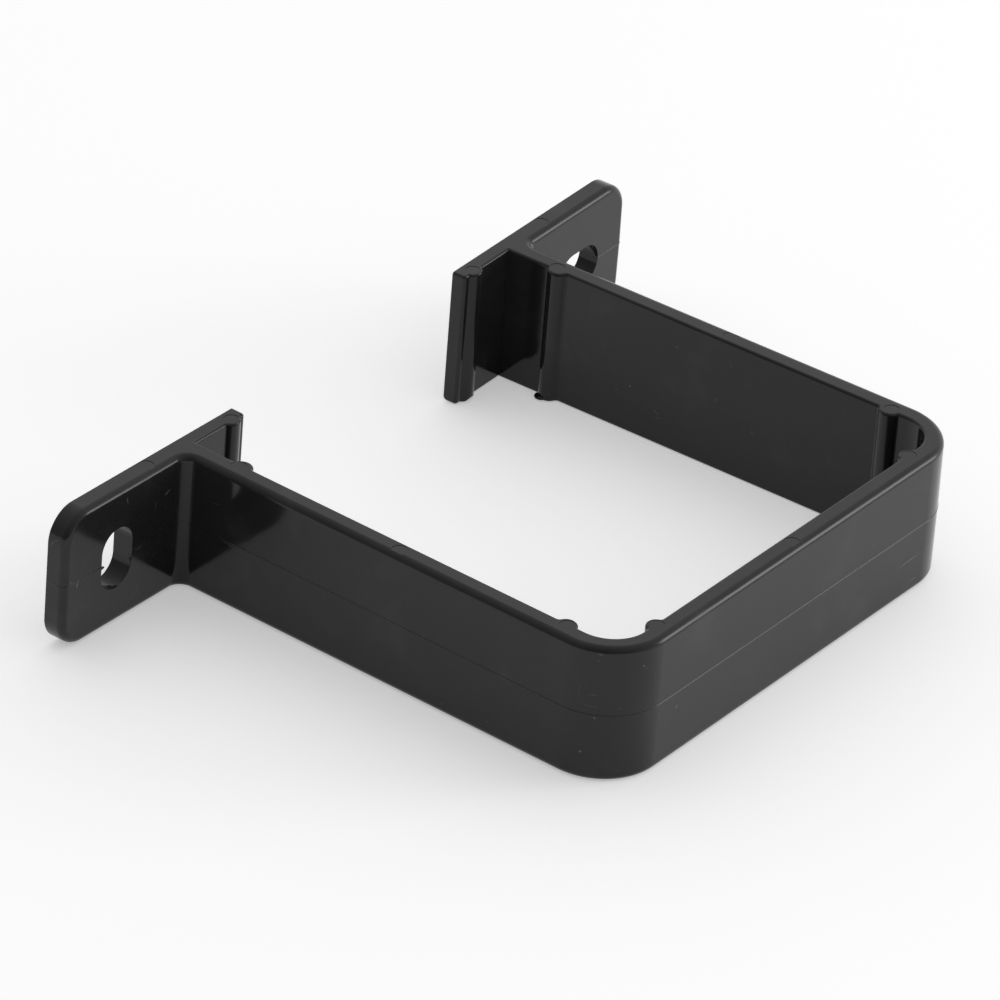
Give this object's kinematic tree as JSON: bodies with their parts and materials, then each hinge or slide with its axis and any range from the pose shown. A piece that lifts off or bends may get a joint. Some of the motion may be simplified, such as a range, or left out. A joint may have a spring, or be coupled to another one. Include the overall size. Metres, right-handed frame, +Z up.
{
  "type": "square downpipe wall clip",
  "caption": "U-shaped wall clip for a square rainwater downpipe: a ribbed band open at the back, with slotted screw lugs outside and short rib-ended lips inside.",
  "frame": {"origin": "on the axis of the pipe that the clip holds, level with the lower edge of the band", "axes": "+Z up along the pipe, +Y towards the wall, +X to the right as seen from in front of the wall"},
  "size_m": [0.1202, 0.0751, 0.02],
  "materials": {
    "black_pvcu": "semi-gloss as moulded"
  },
  "bodies": {
    "root": {"downpipe_clip": "black_pvcu"}
  },
  "joints": []
}
